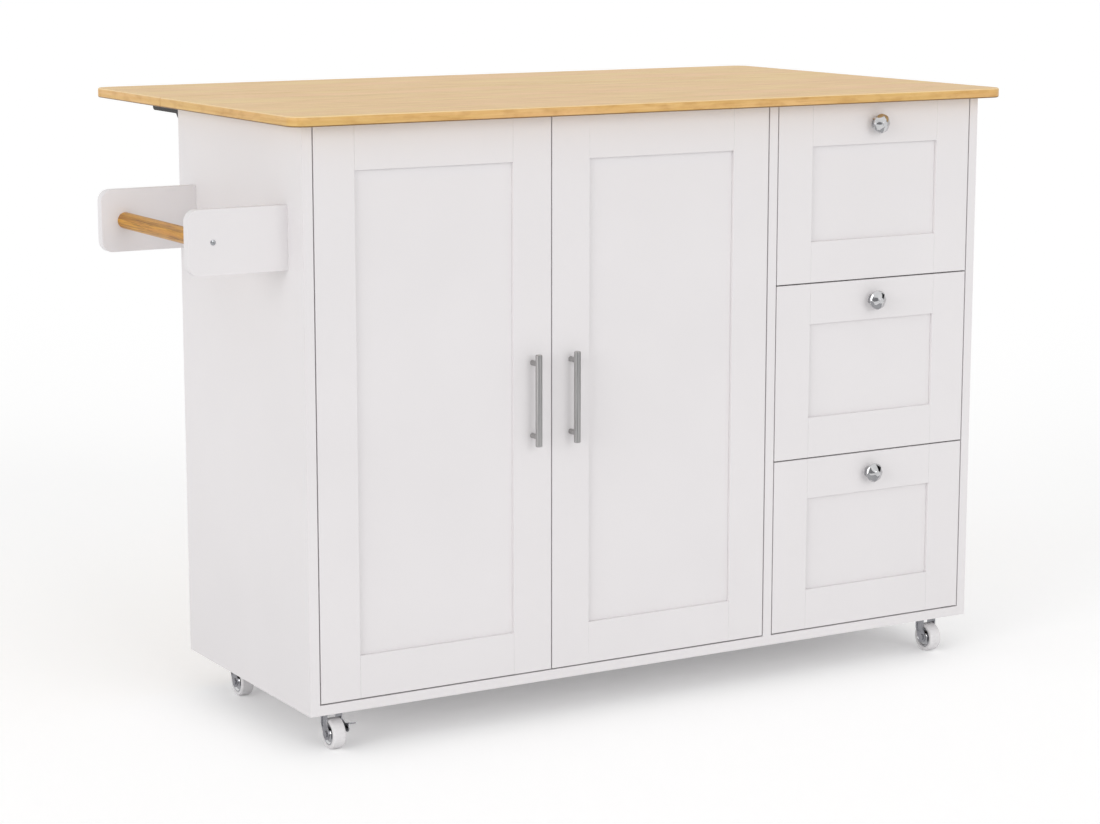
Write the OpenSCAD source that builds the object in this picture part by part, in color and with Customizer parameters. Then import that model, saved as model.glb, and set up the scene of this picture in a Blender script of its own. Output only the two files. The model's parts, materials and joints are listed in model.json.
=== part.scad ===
// Rolling kitchen island: a two-door cupboard and a stack of three drawers under a wooden worktop
// whose rear leaf folds down. A towel rail stands out from the left side and four casters carry it.
// Every sub-part is drawn in the cabinet's own frame: X runs right from the outer face of the left
// side, Y runs back from the plane of the door fronts, and Z runs up from the floor. The module
// centred() then moves it so that the origin is under the middle of the whole object.

/* [Cabinet] */
// Outer width over the two side panels
body_w = 1176; // [1000:1:1400]
// Depth from the door fronts to the back
body_d = 433; // [400:1:520]
// Height of the side panels
body_h = 840; // [760:1:900]
// Thickness of the cabinet boards
board_t = 15; // [14:0.5:19]
// Thickness of the back panel
back_t = 12; // [9:0.5:15]
// Clear width of the drawer bay
drawer_bay_w = 367.5; // [300:0.5:450]
// Depth of the flat rails under the worktop
rail_d = 70; // [60:1:90]
// Wooden dowel diameter
dowel_d = 8; // [6:0.5:8]
// Wooden dowel length
dowel_l = 24; // [20:1:30]

/* [Worktop] */
// Thickness of the worktop and its leaf
top_t = 15; // [12:0.5:25]
// Overhang of the worktop past each side
side_overhang = 28; // [15:1:40]
// Overhang of the worktop past the door fronts
front_overhang = 32; // [26:1:45]
// Depth of the folding leaf
leaf_d = 272; // [230:1:300]
// Gap between the worktop and the leaf
leaf_gap = 1.5; // [1:0.1:3]
// Plan radius of the outer corners
top_corner_r = 24; // [10:1:40]
// Radius of the softened edges
top_edge_r = 2.5; // [1:0.25:5]

/* [Doors and drawer fronts] */
// Thickness of the door and drawer frames
front_t = 15; // [14:0.5:19]
// Gap round each door and drawer front
front_gap = 2; // [1.5:0.1:3]
// Width of the stiles and rails
frame_w = 63; // [58:1:80]
// Depth of the panel below the frame
panel_recess = 5; // [3:0.5:6]
// Thickness of the inset panel
panel_t = 5; // [4:0.5:6]
// Depth of the groove that holds the panel
groove_d = 6; // [4:0.5:8]

/* [Door hinges] */
// Diameter of the hinge cup
cup_d = 35; // [26:1:35]
// Depth of the hinge cup
cup_depth = 11; // [9:0.5:12]
// Wood left between the cup and the door's edge
cup_edge = 5; // [3:0.5:7]
// Distance of the hinges from the door's ends
hinge_inset = 100; // [80:1:140]
// Length of the hinge arm
hinge_arm_l = 52; // [45:1:60]

/* [Handles and knobs] */
// Diameter of the bar handle
bar_d = 10; // [8:0.5:14]
// Length of the bar handle
bar_l = 136; // [120:1:200]
// Distance between the handle's posts
post_spacing = 108; // [90:1:128]
// Diameter of the handle's posts
post_d = 8; // [6:0.5:10]
// Distance from the door to the bar's axis
bar_standoff = 19; // [16:0.5:26]
// Height of the handle's middle above the door's lower edge
handle_up = 411; // [200:1:600]
// Diameter of the knob
knob_d = 30; // [24:1:36]
// Projection of the knob
knob_l = 24; // [22:0.5:30]
// Number of facets round the knob's crown
knob_facets = 8; // [6:1:10]

/* [Drawers] */
// Length of the drawer box
box_l = 350; // [300:1:380]
// Height of the drawer box
box_h = 180; // [120:1:200]
// Thickness of the drawer box boards
box_t = 12; // [10:0.5:15]
// Thickness of the drawer bottom
base_t = 4; // [3:0.5:6]
// Width of the runner space at each side
runner_w = 12.5; // [12:0.5:14]
// Height of the runner
runner_h = 35; // [27:1:45]
// Sheet thickness of the runner
runner_t = 1.2; // [1:0.1:1.5]

/* [Shelf] */
// Height of the shelf above the bottom panel
shelf_up = 385; // [200:1:600]
// Depth of the shelf
shelf_d = 380; // [300:1:385]
// Shelf pin diameter
shelf_pin_d = 5; // [4:0.5:7]
// Spacing of the shelf pin holes
shelf_pitch = 64; // [32:1:96]

/* [Towel rail] */
// Reach of the brackets from the side panel
rack_reach = 150; // [120:1:180]
// Height of the brackets
rack_h = 92; // [70:1:120]
// Distance of the brackets below the worktop
rack_drop = 113; // [60:1:200]
// Distance of the front bracket behind the door fronts
rack_front = 50; // [30:1:90]
// Distance between the facing sides of the brackets
rack_span = 306; // [250:1:320]
// Radius of the brackets' outer corners
rack_corner_r = 17; // [5:1:30]
// Diameter of the wooden rod
rod_d = 24; // [18:1:30]
// Distance of the rod's axis from the side panel
rod_out = 113; // [90:1:130]

/* [Screws] */
// Shank diameter of the screws
screw_d = 4; // [3:0.5:4]
// Height of the screw heads
screw_head_h = 1.6; // [1.2:0.1:1.8]
// Length of the screws that hold the towel rail
rack_screw_l = 35; // [30:1:40]
// Length of the screws that hold the worktop
top_screw_l = 25; // [20:1:27]
// Length of the screws that hold plates and brackets
plate_screw_l = 11.5; // [9:0.5:12]

/* [Leaf brackets] */
// Distance of each bracket's middle from the cabinet's side
bracket_in = 52; // [40:1:150]
// Reach of the bracket's arm behind the back panel
arm_reach = 196; // [180:1:220]
// Width of the bracket's arm
arm_w = 24; // [20:1:30]
// Depth of the bracket's arm
arm_h = 18; // [16:1:22]
// Sheet thickness of the bracket
bracket_t = 1.5; // [1.2:0.1:2]
// Distance of the arm's pivot behind the back panel
pivot_out = 13; // [12:0.5:16]
// Distance of the arm's pivot below the worktop
pivot_down = 10; // [9:0.5:11]
// Distance along the arm from its pivot to the strut's pin
strut_out = 100; // [90:1:110]
// Diameter of the bracket's pins
pin_d = 5; // [4:0.5:6]
// Height of the wall plate
wall_plate_h = 262; // [255:1:300]

/* [Casters] */
// Height from the floor to the cabinet's underside
caster_h = 60; // [56:1:80]
// Wheel diameter
wheel_d = 45; // [40:1:50]
// Wheel width
wheel_w = 20; // [16:1:24]
// Diameter of the metal hub
hub_d = 33; // [28:1:36]
// Offset of the axle from the swivel axis
caster_trail = 26; // [20:1:30]
// Distance of the swivel axes from the cabinet's sides
caster_side_in = 50; // [45:1:100]
// Distance of the swivel axes from the front and the back
caster_end_in = 56; // [55:1:100]
// Sheet thickness of the fork
fork_t = 2; // [1.5:0.25:3]
// Axle diameter
axle_d = 6; // [5:0.5:8]
// Kingpin diameter
kingpin_d = 8; // [6:0.5:10]

/* [Fits] */
// Radial clearance of a pin that turns in a hole
running_fit = 0.05; // [0.02:0.01:0.1]
// Clearance of a piece that drops into a recess
slip_fit = 0.1; // [0.05:0.05:0.3]
// Gap between faces that slide past each other
side_play = 0.4; // [0.3:0.05:0.6]

/* [Hidden] */
$fn = 48;

// Colours, as the photograph shows them
white_paint = [0.89, 0.88, 0.89];
oak = [0.87, 0.76, 0.61];
rod_wood = [0.80, 0.62, 0.38];
pale_wood = [0.86, 0.76, 0.60];
steel = [0.62, 0.62, 0.63];
chrome = [0.80, 0.80, 0.82];
black_steel = [0.09, 0.09, 0.09];
white_plastic = [0.90, 0.90, 0.90];
zinc = [0.72, 0.73, 0.74];

// Cabinet levels and faces
body_z = caster_h;
body_top = body_z + body_h;
floor_top = body_z + board_t;
inner_left = board_t;
inner_right = body_w - board_t;
back_face = body_d - back_t;
divider_right = inner_right - drawer_bay_w;
divider_left = divider_right - board_t;
door_bay_w = divider_left - inner_left;
rail_front_y = front_t + front_gap;
rail_middles = [rail_front_y + rail_d / 2, back_face - rail_d / 2];

// Doors and drawer fronts
front_z = floor_top + front_gap;
front_h = body_top - front_gap - front_z;
door_w = (door_bay_w - 3 * front_gap) / 2;
door_left_x = inner_left + front_gap;
door_right_x = door_left_x + door_w + front_gap;
drawer_count = 3;
drawer_front_w = drawer_bay_w - 2 * front_gap;
drawer_front_x = divider_right + front_gap;
drawer_front_h = (front_h - (drawer_count - 1) * front_gap) / drawer_count;
function drawer_z(i) = front_z + (drawer_count - 1 - i) * (drawer_front_h + front_gap);

// Drawer boxes
box_x = divider_right + runner_w;
box_w = drawer_bay_w - 2 * runner_w;
box_up = (drawer_front_h - box_h) / 3;
base_up = 8;
base_groove = box_t / 2;
runner_up = box_up + box_h / 2;

// Worktop and leaf
top_left = -side_overhang;
top_w = body_w + 2 * side_overhang;
leaf_front = body_d + leaf_gap;
leaf_back = leaf_front + leaf_d;

// Towel rail
rack_z = body_top - rack_drop - rack_h;
rod_z = rack_z + rack_h / 2;
rack_rear = rack_front + board_t + rack_span;

// Leaf brackets
pivot_y = body_d + pivot_out;
pivot_z = body_top - pivot_down;
bracket_xs = [bracket_in, body_w - bracket_in];
plate_w = arm_w + 2 * side_play + 2 * bracket_t;
strut_w = arm_w - 2 * bracket_t - 2 * side_play - 4;
strut_h = 12;
strut_pin_y = pivot_y + strut_out;
strut_l = strut_out * sqrt(2);
pin_wall = 3.5;
wall_flange_r = pin_d / 2 + pin_wall;

// Casters
axle_z = wheel_d / 2;
axle_head_h = 1.5;
leg_in = wheel_w / 2 + 2 * side_play;
leg_out = leg_in + fork_t;
caster_plate_w = 40;
caster_plate_t = 2.5;
race_h = 4;
race_gap = 0.3;
crown_top = caster_h - caster_plate_t - race_h - race_gap;
crown_r = 17;
kingpin_head_h = 2;
lever_y = -caster_trail + 7;
lever_z = axle_z + 17.5;
lever_pin_d = 4;
lever_t = 1.5;
caster_spots = [
    [caster_side_in, caster_end_in],
    [body_w - caster_side_in, caster_end_in],
    [caster_side_in, body_d - caster_end_in],
    [body_w - caster_side_in, body_d - caster_end_in]
];

// Middle of the whole object in plan
mid_x = (body_w + side_overhang - rack_reach) / 2;
mid_y = (leaf_back - front_overhang) / 2;

module centred() translate([-mid_x, -mid_y, 0]) children();

// A profile drawn as [Y, Z], carried along X
module along_x(x, length) translate([x, 0, 0]) rotate([90, 0, 90]) linear_extrude(length) children();

// A profile drawn as [X, Z], carried along Y
module along_y(y, length)
    translate([0, y + length, 0]) rotate([90, 0, 0]) linear_extrude(length) children();

module box(x, y, z, w, d, h) translate([x, y, z]) cube([w, d, h]);

// A round bar along X between two positions
module bar_x(x, y, z, length, d) translate([x, y, z]) rotate([0, 90, 0]) cylinder(d = d, h = length);

// A round bar along Y between two positions
module bar_y(x, y, z, length, d) translate([x, y, z]) rotate([-90, 0, 0]) cylinder(d = d, h = length);

// Dowels along X join the bottom and the rails to the sides and the divider
dowel_ys = [body_d / 8, body_d / 2, body_d * 7 / 8];
dowels_x = [
    for (x = [inner_left, inner_right], y = dowel_ys) [x, y, body_z + board_t / 2],
    for (x = [inner_left, divider_left + board_t / 2, inner_right], y = rail_middles, side = [-1, 1])
        [x, y + side * rail_d / 4, body_top - board_t / 2]
];
// Dowels along Z join the divider to the bottom
dowels_z = [for (y = dowel_ys) [divider_left + board_t / 2, y, floor_top]];
// A dowel stops short of the far face of the panel it enters
dowel_bite = board_t - 4;

// The dowel of an outer joint lies further into the edge than into the panel
function dowel_start(x) =
    x == inner_left ? x - dowel_bite
    : x == inner_right ? x + dowel_bite - dowel_l
    : x - dowel_l / 2;

module dowel_set(gap) {
    for (p = dowels_x)
        bar_x(dowel_start(p[0]) - gap, p[1], p[2], dowel_l + 2 * gap, dowel_d + 2 * gap);
    for (p = dowels_z)
        translate([p[0], p[1], p[2] - dowel_bite - gap])
            cylinder(d = dowel_d + 2 * gap, h = dowel_l + 2 * gap);
}

// Shelf pins and the rows of holes for them
pin_rows = [for (i = [-1 : 1]) floor_top + shelf_up + i * shelf_pitch];
shelf_back_gap = 2;
shelf_y = back_face - shelf_d - shelf_back_gap;
pin_inset = 40;
pin_ys = [shelf_y + pin_inset, shelf_y + shelf_d - pin_inset];
pin_bite = board_t / 2;
shelf_pin_drop = shelf_pin_d / 2;

module shelf_pin_set(rows, gap) {
    for (z = rows, y = pin_ys, x = [inner_left - pin_bite, divider_left - pin_bite - gap])
        bar_x(x - gap, y, z - shelf_pin_drop, 2 * pin_bite + 2 * gap, shelf_pin_d + 2 * gap);
}

// A screw driven along Z from the surface at its origin, or its hole where a gap is given
module screw(length, gap) {
    translate([0, 0, -gap]) cylinder(d = screw_d + 2 * gap, h = length + 2 * gap);
    if (gap == 0) translate([0, 0, -screw_head_h]) cylinder(d = 2 * screw_d, h = screw_head_h);
}

// Two screws hold the rod, and two more hold each bracket from inside the cabinet
module rack_screws(gap) {
    translate([-rod_out, rack_front, rod_z]) rotate([-90, 0, 0]) screw(rack_screw_l, gap);
    translate([-rod_out, rack_rear + board_t, rod_z]) rotate([90, 0, 0]) screw(rack_screw_l, gap);
    for (y = [rack_front, rack_rear], z = [rack_z + rack_h / 4, rack_z + rack_h * 3 / 4])
        translate([board_t, y + board_t / 2, z]) rotate([0, -90, 0]) screw(rack_screw_l, gap);
}

// The worktop is held from below, through the rails
worktop_screw_xs = [
    inner_left + door_bay_w / 5, inner_left + door_bay_w * 4 / 5,
    divider_right + drawer_bay_w / 4, divider_right + drawer_bay_w * 3 / 4
];

module worktop_screws(gap) {
    for (x = worktop_screw_xs, y = rail_middles)
        translate([x, y, body_top - board_t]) screw(top_screw_l, gap);
}

module caster_screws(gap) {
    corner = caster_plate_w / 2 - screw_d * 5 / 4;
    for (p = caster_spots, sx = [-corner, corner], sy = [-corner, corner])
        translate([p[0] + sx, p[1] + sy, caster_h - caster_plate_t]) screw(plate_screw_l, gap);
}

module wall_plate_screws(gap) {
    for (x = bracket_xs, part = [1 / 6, 1 / 2, 11 / 12])
        translate([x, body_d + bracket_t, body_top - wall_plate_h * part])
            rotate([90, 0, 0]) screw(plate_screw_l, gap);
}

module arm_screws(gap) {
    for (x = bracket_xs, part = [1 / 4, 1 / 2, 6 / 7])
        translate([x, body_d + arm_reach * part, body_top - bracket_t]) screw(plate_screw_l, gap);
}

// Cabinet

module side_panel(x) {
    color(white_paint) centred() difference() {
        box(x, 0, body_z, board_t, body_d, body_h);
        dowel_set(slip_fit);
        shelf_pin_set(pin_rows, slip_fit);
        rack_screws(slip_fit);
        on_left_door() hinge_screws(slip_fit);
    }
}

module centre_divider() {
    color(white_paint) centred() difference() {
        box(divider_left, 0, floor_top, board_t, back_face, body_top - floor_top);
        dowel_set(slip_fit);
        shelf_pin_set(pin_rows, slip_fit);
        on_right_door() hinge_screws(slip_fit);
    }
}

module bottom_panel() {
    color(white_paint) centred() difference() {
        box(inner_left, 0, body_z, inner_right - inner_left, body_d, board_t);
        dowel_set(slip_fit);
        caster_screws(slip_fit);
    }
}

module back_panel() {
    color(white_paint) centred() difference() {
        box(inner_left, back_face, floor_top, inner_right - inner_left, back_t, body_top - floor_top);
        wall_plate_screws(slip_fit);
    }
}

module top_rails() {
    color(white_paint) centred() difference() {
        for (y = rail_middles) {
            box(inner_left, y - rail_d / 2, body_top - board_t, door_bay_w, rail_d, board_t);
            box(divider_right, y - rail_d / 2, body_top - board_t, drawer_bay_w, rail_d, board_t);
        }
        dowel_set(slip_fit);
        worktop_screws(slip_fit);
    }
}

module shelf() {
    shelf_w = door_bay_w - 2 * side_play;
    color(white_paint) centred()
        box(inner_left + side_play, shelf_y, floor_top + shelf_up, shelf_w, shelf_d, board_t);
}

module shelf_pins() {
    color(zinc) centred() shelf_pin_set([pin_rows[1]], 0);
}

module panel_dowels() {
    color(pale_wood) centred() dowel_set(0);
}

module cabinet_screws() {
    color(zinc) centred() {
        worktop_screws(0);
        caster_screws(0);
        wall_plate_screws(0);
        on_left_door() hinge_screws(0);
        on_right_door() hinge_screws(0);
    }
}

// Worktop and leaf: the outer corners are round in plan and every outer edge is softened

// Section across the last stretch of a board, up to its softened edge
module soft_edge() {
    flat = top_corner_r - top_edge_r;
    square([flat, top_t]);
    translate([0, top_edge_r]) square([top_corner_r, top_t - 2 * top_edge_r]);
    for (z = [top_edge_r, top_t - top_edge_r]) translate([flat, z]) circle(r = top_edge_r);
}

// A board with one long soft edge, two round corners, and a square cut at the seam
module soft_board(edge_y, seam_y) {
    back = edge_y > seam_y ? 1 : 0;
    corner_y = back ? edge_y - top_corner_r : edge_y + top_corner_r;
    side_y = min(corner_y, seam_y);
    side_l = abs(corner_y - seam_y);
    left_x = top_left + top_corner_r;
    long_l = top_w - 2 * top_corner_r;
    translate([left_x, 0, body_top]) {
        translate([0, side_y, 0]) cube([long_l, side_l, top_t]);
        translate([0, corner_y, 0]) {
            along_x(0, long_l) mirror([1 - back, 0]) soft_edge();
            for (x = [0, long_l]) translate([x, 0, 0]) rotate_extrude() soft_edge();
        }
        along_y(side_y, side_l) mirror([1, 0]) soft_edge();
        translate([long_l, 0, 0]) along_y(side_y, side_l) soft_edge();
    }
}

module worktop() {
    color(oak) centred() difference() {
        soft_board(-front_overhang, body_d);
        worktop_screws(slip_fit);
    }
}

module drop_leaf() {
    color(oak) centred() difference() {
        soft_board(leaf_back, leaf_front);
        arm_screws(slip_fit);
    }
}

module leaf_screws() {
    color(zinc) centred() arm_screws(0);
}

// Towel rail

module towel_bracket(y) {
    r = rack_corner_r;
    color(white_paint) centred() difference() {
        along_y(y, board_t) translate([-rack_reach, rack_z]) {
            translate([r, 0]) square([rack_reach - r, rack_h]);
            translate([0, r]) square([rack_reach, rack_h - 2 * r]);
            for (z = [r, rack_h - r]) translate([r, z]) circle(r = r);
        }
        rack_screws(slip_fit);
    }
}

module towel_rod() {
    color(rod_wood) centred() difference() {
        bar_y(-rod_out, rack_front + board_t, rod_z, rack_span, rod_d);
        rack_screws(slip_fit);
    }
}

module towel_rack_screws() {
    color(zinc) centred() rack_screws(0);
}

// Doors: two stiles and two rails grooved round a thin panel

module panel_groove(w, h) {
    edge = frame_w - groove_d - slip_fit;
    box(edge, panel_recess - slip_fit / 2, edge, w - 2 * edge, panel_t + slip_fit, h - 2 * edge);
}

module front_frame(w, h) {
    difference() {
        for (x = [0, w - frame_w]) box(x, 0, 0, frame_w, front_t, h);
        panel_groove(w, h);
    }
    difference() {
        for (z = [0, h - frame_w]) box(frame_w, 0, z, w - 2 * frame_w, front_t, frame_w);
        panel_groove(w, h);
    }
}

module front_panel(w, h) {
    edge = frame_w - groove_d;
    box(edge, panel_recess, edge, w - 2 * edge, panel_t, h - 2 * edge);
}

hinge_heights = [hinge_inset, front_h - hinge_inset];
cup_x = cup_edge + cup_d / 2;
cup_wall = 1.2;
link_h = 10;
link_face = 3;
arm_nose_y = front_t + link_face + 0.3;
arm_face = 9;
arm_wide = 12;
hinge_plate_t = 1.5;
hinge_plate_l = 30;
hinge_plate_y = arm_nose_y + hinge_arm_l - hinge_plate_l;
hinge_wing_w = 14;
hinge_wing_h = 48;

// Places a piece drawn for a door whose hinges are at X = 0
module on_left_door() translate([door_left_x, 0, front_z]) children();
module on_right_door() translate([door_right_x + door_w, 0, front_z]) mirror([1, 0, 0]) children();

// Two screws hold each hinge's mounting plate
module hinge_screws(gap) {
    for (z = hinge_heights, side = [-hinge_wing_h / 3, hinge_wing_h / 3])
        translate([hinge_plate_t - front_gap, hinge_plate_y + hinge_wing_w / 2, z + side])
            rotate([0, -90, 0]) screw(plate_screw_l, gap);
}

module door_frame() {
    difference() {
        front_frame(door_w, front_h);
        for (z = hinge_heights)
            bar_y(cup_x, front_t - cup_depth - slip_fit, z, cup_depth + 1, cup_d + 2 * slip_fit);
        for (z = handle_posts) bar_y(door_w - frame_w / 2, -1, z, front_t + 2, screw_d + 2 * slip_fit);
    }
}

// The cup, its flange, its pin, and the link that reaches out from the pin to the arm
module hinge_cup() {
    flange_h = 62;
    flange_w = 14;
    cup_rim = 2;
    hinge_pin_d = 3;
    hinge_pin_y = front_t - 4;
    link_x = cup_x - 9;
    link_y = hinge_pin_y - hinge_pin_d;
    link_l = 13;
    difference() {
        union() {
            bar_y(cup_x, front_t - cup_depth, 0, cup_depth, cup_d);
            bar_y(cup_x, front_t, 0, cup_wall, cup_d + 2 * cup_rim);
            box(cup_x - flange_w / 2, front_t, -flange_h / 2, flange_w, cup_wall, flange_h);
        }
        bar_y(cup_x, front_t - cup_depth + cup_wall, 0, cup_depth + cup_wall, cup_d - 2 * cup_wall);
    }
    translate([cup_x - 4, hinge_pin_y, -cup_d / 2 + cup_wall])
        cylinder(d = hinge_pin_d, h = cup_d - 2 * cup_wall);
    box(link_x, link_y, -link_h / 2, link_l, front_t + link_face - link_y, link_h);
    box(front_gap, front_t + cup_wall, -link_h / 2, link_x - front_gap, link_face - cup_wall, link_h);
}

module hinge_cups() for (z = hinge_heights) translate([0, 0, z]) hinge_cup();

// The arm and its mounting plate stay on the cabinet
module hinge_arm() {
    arm_wall = 1.5;
    arm_back_l = 12;
    box(-front_gap, hinge_plate_y, -hinge_wing_h / 2, hinge_plate_t, hinge_wing_w, hinge_wing_h);
    box(-front_gap, hinge_plate_y, -arm_wide / 2, hinge_plate_t, hinge_plate_l, arm_wide);
    difference() {
        box(hinge_plate_t - front_gap, arm_nose_y, -arm_wide / 2, arm_face, hinge_arm_l, arm_wide);
        box(-front_gap, arm_nose_y - arm_wall, arm_wall - arm_wide / 2,
            arm_face, hinge_arm_l + arm_wall - arm_back_l, arm_wide - 2 * arm_wall);
    }
}

module hinge_arms() {
    color(zinc) centred() {
        on_left_door() hinge_arm_pair();
        on_right_door() hinge_arm_pair();
    }
}

module hinge_arm_pair() {
    difference() {
        for (z = hinge_heights) translate([0, 0, z]) hinge_arm();
        hinge_screws(slip_fit);
    }
}

// Handles and knobs

handle_posts = [handle_up - post_spacing / 2, handle_up + post_spacing / 2];

module bar_handle() {
    chamfer = 1;
    r = bar_d / 2;
    translate([door_w - frame_w / 2, -bar_standoff, handle_up - bar_l / 2])
        rotate_extrude() polygon([
            [0, 0], [r - chamfer, 0], [r, chamfer], [r, bar_l - chamfer], [r - chamfer, bar_l], [0, bar_l]
        ]);
    for (z = handle_posts) bar_y(door_w - frame_w / 2, -bar_standoff, z, bar_standoff, post_d);
}

// The screws come through the stile from inside the door
module handle_screws() {
    for (z = handle_posts)
        translate([door_w - frame_w / 2, front_t, z]) rotate([90, 0, 0]) screw(front_t, 0);
}

module door_handle() {
    color(steel) bar_handle();
    color(zinc) handle_screws();
}

// A gem-cut crown on a round stem: two cones of flat facets, turned against each other
module knob() {
    r = knob_d / 2;
    stem_top = knob_l - 13;
    half_facet = 180 / knob_facets;
    rotate([90, 0, 0]) {
        rotate_extrude() polygon([
            [0, 0], [r * 0.65, 0], [r * 0.65, 1.6], [r * 0.42, 3], [r * 0.36, stem_top - 3],
            [r * 0.55, stem_top - 1], [r * 0.8, stem_top], [0, stem_top]
        ]);
        translate([0, 0, stem_top]) intersection() {
            rotate_extrude() polygon([
                [0, 0], [r * 0.8, 0], [r, 2.5], [r, 5], [r * 0.6, 13], [0, 13]
            ]);
            cylinder(r1 = r * 1.28, r2 = r * 0.55, h = 13, $fn = knob_facets);
            rotate([0, 0, half_facet]) cylinder(r1 = r * 1.75, r2 = r * 0.3, h = 13, $fn = knob_facets);
        }
    }
}

// Drawers, counted from the top

module on_drawer(i) translate([drawer_front_x, 0, drawer_z(i)]) children();

module drawer_frame(i) {
    color(white_paint) centred() on_drawer(i) front_frame(drawer_front_w, drawer_front_h);
}

module drawer_panel(i) {
    color(white_paint) centred() on_drawer(i) front_panel(drawer_front_w, drawer_front_h);
}

module drawer_knob(i) {
    color(chrome) centred() on_drawer(i)
        translate([drawer_front_w / 2, 0, drawer_front_h - frame_w / 2]) knob();
}

module base_board(gap) {
    edge = box_t - base_groove - gap;
    box(box_x + edge, front_t + edge, base_up - gap / 2, box_w - 2 * edge, box_l - 2 * edge, base_t + gap);
}

module drawer_box(i) {
    color(white_paint) centred() translate([0, 0, drawer_z(i) + box_up]) difference() {
        union() {
            for (x = [box_x, box_x + box_w - box_t]) box(x, front_t, 0, box_t, box_l, box_h);
            for (y = [front_t, front_t + box_l - box_t])
                box(box_x + box_t, y, 0, box_w - 2 * box_t, box_t, box_h);
        }
        base_board(slip_fit);
    }
}

module drawer_base(i) {
    color(white_paint) centred() translate([0, 0, drawer_z(i) + box_up]) base_board(0);
}

// The rail on the cabinet is a lipped channel, and the rail on the drawer is a hat that it holds
runner_lip = 4;
hat_half = runner_h / 2 - runner_t - side_play;
hat_neck = hat_half - runner_lip;
channel_d = 9;

module cabinet_rail() {
    half = runner_h / 2;
    along_y(front_t + 5, box_l - 5) difference() {
        translate([0, -half]) square([channel_d, runner_h]);
        translate([runner_t, -half + runner_t]) square([channel_d - 2 * runner_t, runner_h - 2 * runner_t]);
        translate([runner_t, -half + runner_t + runner_lip])
            square([channel_d, runner_h - 2 * runner_t - 2 * runner_lip]);
    }
}

module drawer_rail() {
    head_x = channel_d - 2 * runner_t - side_play;
    along_y(front_t, box_l) {
        translate([runner_w - runner_t, -hat_neck]) square([runner_t, 2 * hat_neck]);
        for (z = [-hat_neck, hat_neck - runner_t])
            translate([head_x, z]) square([runner_w - head_x, runner_t]);
        for (z = [-hat_half, hat_neck - runner_t])
            translate([head_x - runner_t, z]) square([runner_t, hat_half - hat_neck + runner_t]);
    }
}

module at_runners(i) {
    z = drawer_z(i) + runner_up;
    translate([divider_right, 0, z]) children();
    translate([inner_right, 0, z]) mirror([1, 0, 0]) children();
}

module cabinet_runners() {
    color(zinc) centred() for (i = [0 : drawer_count - 1]) at_runners(i) cabinet_rail();
}

module drawer_runners(i) {
    color(zinc) centred() at_runners(i) drawer_rail();
}

// Folding brackets: a wall plate, an arm screwed under the leaf, and a strut between them

// A bar with round ends, drawn along its first axis
module round_bar(length, d) {
    translate([0, -d / 2]) square([length, d]);
    for (end = [0, length]) translate([end, 0]) circle(d = d);
}

// The flanges are slotted for the strut's lower pin and carry the pivot of the arm
module wall_plate(x) {
    low = body_top - wall_plate_h;
    for (side = [0, 1])
        along_x(x - plate_w / 2 + side * (plate_w - bracket_t), bracket_t) difference() {
            union() {
                translate([body_d, low]) square([pivot_out + wall_flange_r, pivot_z - low]);
                translate([body_d, pivot_z]) square([pivot_out, wall_flange_r]);
                translate([pivot_y, pivot_z]) circle(r = wall_flange_r);
            }
            translate([pivot_y, pivot_z - strut_out]) rotate(-90) round_bar(strut_l, pin_d + 2 * slip_fit);
        }
    box(x - plate_w / 2, body_d, low, plate_w, bracket_t, pivot_z + wall_flange_r - low);
    bar_x(x - plate_w / 2, pivot_y, pivot_z, plate_w, pin_d);
}

module bracket_wall_plates() {
    color(black_steel) centred() difference() {
        for (x = bracket_xs) wall_plate(x);
        wall_plate_screws(slip_fit);
    }
}

module bracket_arm(x) {
    low = body_top - arm_h;
    tip_y = body_d + arm_reach;
    nose_r = pivot_down - 2;
    web_y = pivot_y + 2;
    for (side = [0, 1])
        along_x(x - arm_w / 2 + side * (arm_w - bracket_t), bracket_t) difference() {
            union() {
                translate([pivot_y, low]) square([tip_y - pivot_y - arm_h / 3, arm_h]);
                translate([pivot_y, low + arm_h / 3]) square([tip_y - pivot_y, arm_h * 2 / 3]);
                translate([tip_y - arm_h / 3, low + arm_h / 3]) circle(r = arm_h / 3);
                translate([pivot_y, pivot_z]) circle(r = nose_r);
            }
            translate([pivot_y, pivot_z]) circle(d = pin_d + 2 * running_fit);
        }
    box(x - arm_w / 2, web_y, body_top - bracket_t, arm_w, tip_y - web_y, bracket_t);
    bar_x(x - arm_w / 2, strut_pin_y, pivot_z, arm_w, pin_d);
}

module bracket_arms() {
    color(black_steel) centred() difference() {
        for (x = bracket_xs) bracket_arm(x);
        arm_screws(slip_fit);
    }
}

// At rest the strut leans at 45 degrees from the arm down to the wall plate
module bracket_strut(x) {
    end_pin_l = arm_w - 2 * side_play;
    color(black_steel) centred() translate([0, strut_pin_y, pivot_z]) rotate([225, 0, 0]) {
        for (side = [0, 1])
            along_x(x - strut_w / 2 + side * (strut_w - bracket_t), bracket_t) difference() {
                round_bar(strut_l, strut_h);
                circle(d = pin_d + 2 * running_fit);
            }
        box(x - strut_w / 2, strut_h, -strut_h / 2, strut_w, strut_l - 2 * strut_h, bracket_t);
        bar_x(x - end_pin_l / 2, strut_l, 0, end_pin_l, pin_d);
    }
}

// Casters, each drawn about its swivel axis with the wheel trailing to the front

module at_caster(i) translate([caster_spots[i][0], caster_spots[i][1], 0]) children();

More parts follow.
